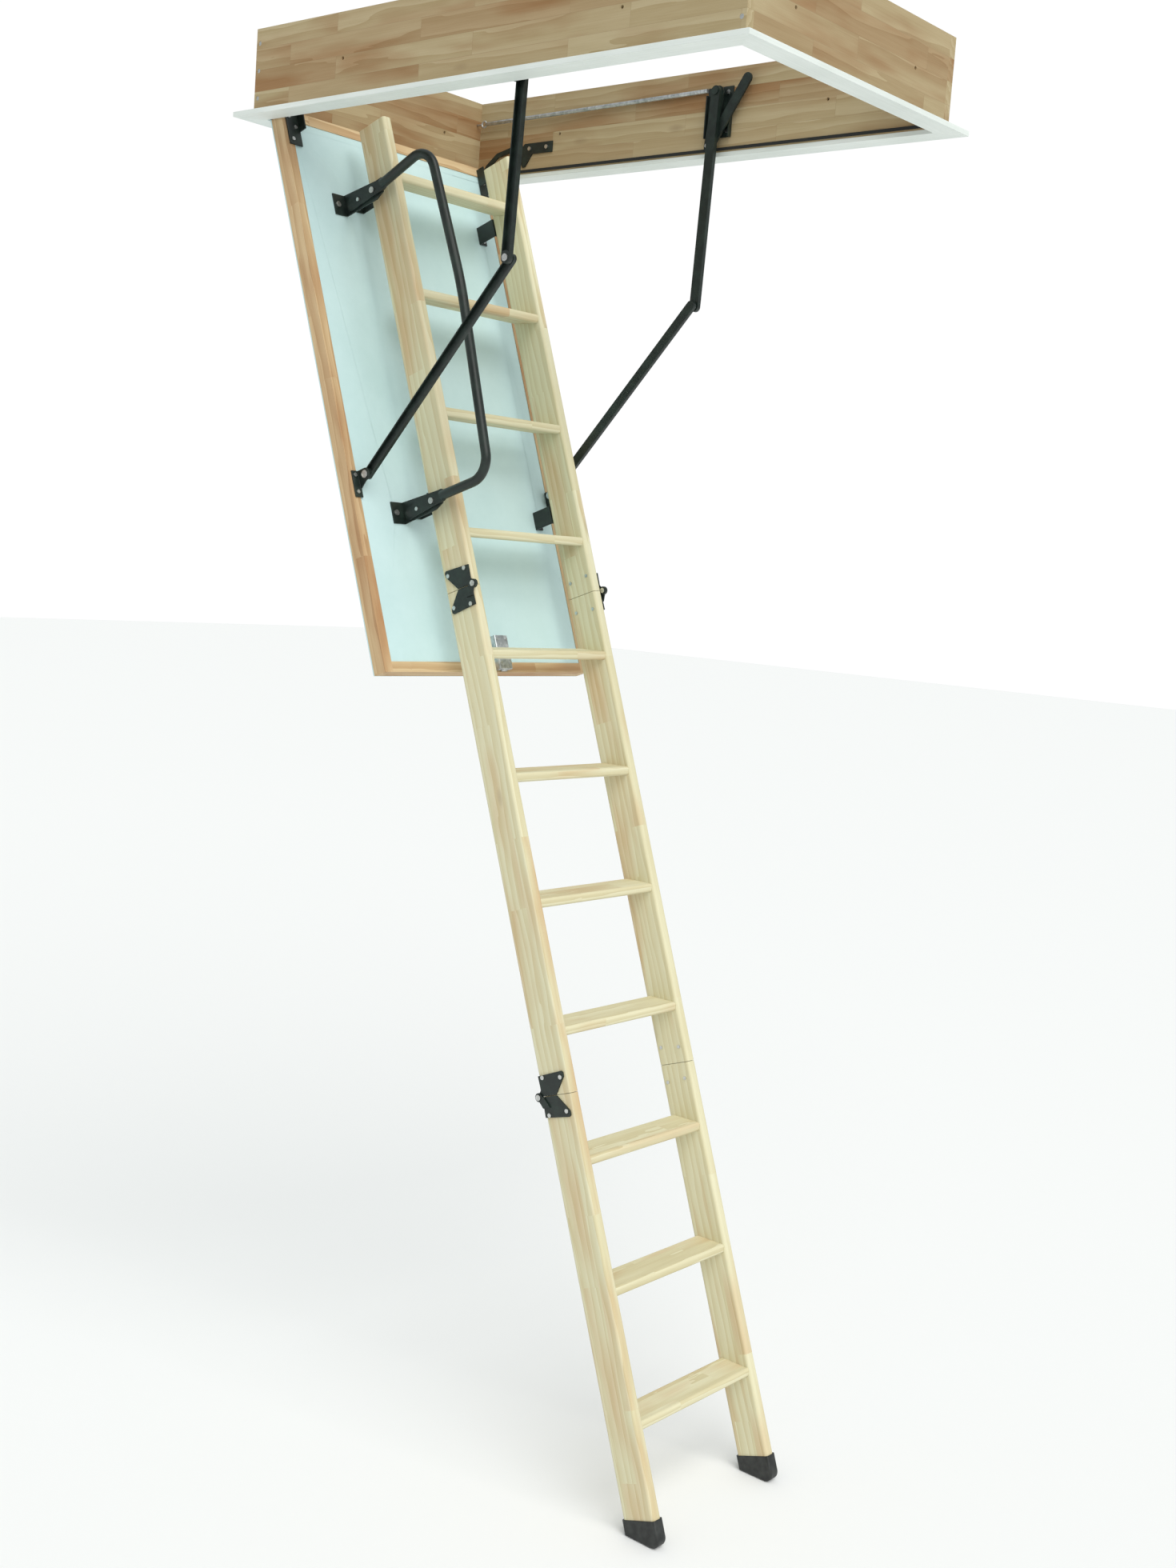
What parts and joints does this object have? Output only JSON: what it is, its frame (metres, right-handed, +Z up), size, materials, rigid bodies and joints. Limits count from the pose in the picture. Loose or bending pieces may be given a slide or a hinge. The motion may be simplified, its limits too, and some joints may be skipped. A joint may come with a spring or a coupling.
{
  "type": "attic ladder",
  "caption": "Three-section folding timber ladder on a hinged insulated hatch in a board casing, with a tubular handrail, pivoting steel arms and capped feet.",
  "frame": {"origin": "centre of the casing's clear opening, in the plane of the ceiling's underside (top face of the trim)", "axes": "+X from the hatch's hinge end to its free end, +Y across from the handrail's side to the other, +Z up into the attic"},
  "size_m": [1.32, 0.736, 2.931],
  "materials": {
    "casing_pine": "planed, unfinished",
    "ladder_pine": "planed and sanded, unfinished",
    "hatch_pine": "planed, unfinished",
    "trim_board": "painted off-white, satin",
    "white_panel": "white-faced thin board",
    "foam_core": "closed-cell foam",
    "black_steel": "black powder coat, satin",
    "zinc_fasteners": "zinc plated",
    "galvanised_steel": "galvanised",
    "foot_plastic": "black, textured",
    "seal_rubber": "black"
  },
  "bodies": {
    "casing": {"arm_brackets": "black_steel", "arm_frame_pins": "black_steel", "board_far": "casing_pine", "board_free_end": "casing_pine", "board_hinge_end": "casing_pine", "board_near": "casing_pine", "casing_screws": "zinc_fasteners", "hatch_hinge_brackets": "black_steel", "hatch_seal": "seal_rubber", "latch_keeper": "galvanised_steel", "spring_tubes": "galvanised_steel", "trim_far": "trim_board", "trim_free_end": "trim_board", "trim_hinge_end": "trim_board", "trim_near": "trim_board"},
    "hatch": {"hatch_side_rails": "hatch_pine", "hatch_end_rails": "hatch_pine", "hatch_core": "foam_core", "hatch_top_panel": "white_panel", "hatch_bottom_panel": "white_panel", "hatch_hinge_pins": "zinc_fasteners", "hatch_corner_plates": "black_steel", "hatch_fasteners": "zinc_fasteners", "arm_clevises": "black_steel", "arm_hatch_pins": "zinc_fasteners", "latch_case": "galvanised_steel", "spacer_brackets": "black_steel", "spacer_screws": "zinc_fasteners", "handrail": "black_steel", "handrail_brackets": "black_steel", "stile_upper_near": "ladder_pine", "stile_upper_far": "ladder_pine", "tread_01": "ladder_pine", "tread_02": "ladder_pine", "tread_03": "ladder_pine", "tread_04": "ladder_pine", "fold_plates_upper": "black_steel", "joint_rivets_upper": "zinc_fasteners"},
    "middle_section": {"stile_middle_near": "ladder_pine", "stile_middle_far": "ladder_pine", "tread_05": "ladder_pine", "tread_06": "ladder_pine", "tread_07": "ladder_pine", "tread_08": "ladder_pine", "fold_plates_middle": "black_steel", "joint_rivets_middle": "zinc_fasteners"},
    "lower_section": {"stile_lower_near": "ladder_pine", "stile_lower_far": "ladder_pine", "tread_09": "ladder_pine", "tread_10": "ladder_pine", "tread_11": "ladder_pine", "fold_plates_lower": "black_steel", "joint_rivets_lower": "zinc_fasteners", "foot_near": "foot_plastic", "foot_far": "foot_plastic"},
    "upper_arm_pair": {"upper_arms": "black_steel", "crank_levers": "black_steel", "knee_rivets": "zinc_fasteners"},
    "lower_arm_pair": {"lower_arms": "black_steel"},
    "bolt": {"latch_bolt": "galvanised_steel"}
  },
  "joints": [
    {"name": "hatch_swing", "type": "hinge", "parent": "casing", "child": "hatch", "pos_m": [-0.599, 0, -0.003], "axis": [0, -1, 0], "range_deg": [0, 61]},
    {"name": "ladder_fold", "type": "hinge", "parent": "hatch", "child": "middle_section", "pos_m": [-0.08568, 0.054, -0.93675], "axis": [0, -1, 0], "range_deg": [0, 180]},
    {"name": "lower_fold", "type": "hinge", "parent": "middle_section", "child": "lower_section", "pos_m": [0.18938, 0.054, -1.94976], "axis": [0, -1, 0], "range_deg": [-180, 0]},
    {"name": "upper_arm_swing", "type": "hinge", "parent": "casing", "child": "upper_arm_pair", "pos_m": [0.096, 0, 0.118], "axis": [0, -1, 0], "range_deg": [0, 136]},
    {"name": "lower_arm_swing", "type": "hinge", "parent": "hatch", "child": "lower_arm_pair", "pos_m": [-0.27917, 0, -0.73261], "axis": [0, -1, 0], "range_deg": [-44, 0]},
    {"name": "latch_slide", "type": "slide", "parent": "hatch", "child": "bolt", "axis": [0.342, 0, -0.9397], "range_m": [0, 0.01]}
  ],
  "couplings": [
    {"joint": "lower_fold", "follows": "ladder_fold", "ratio": -1},
    {"joint": "upper_arm_swing", "follows": "hatch_swing", "ratio": 2.2198},
    {"joint": "lower_arm_swing", "follows": "hatch_swing", "ratio": -0.7133}
  ]
}
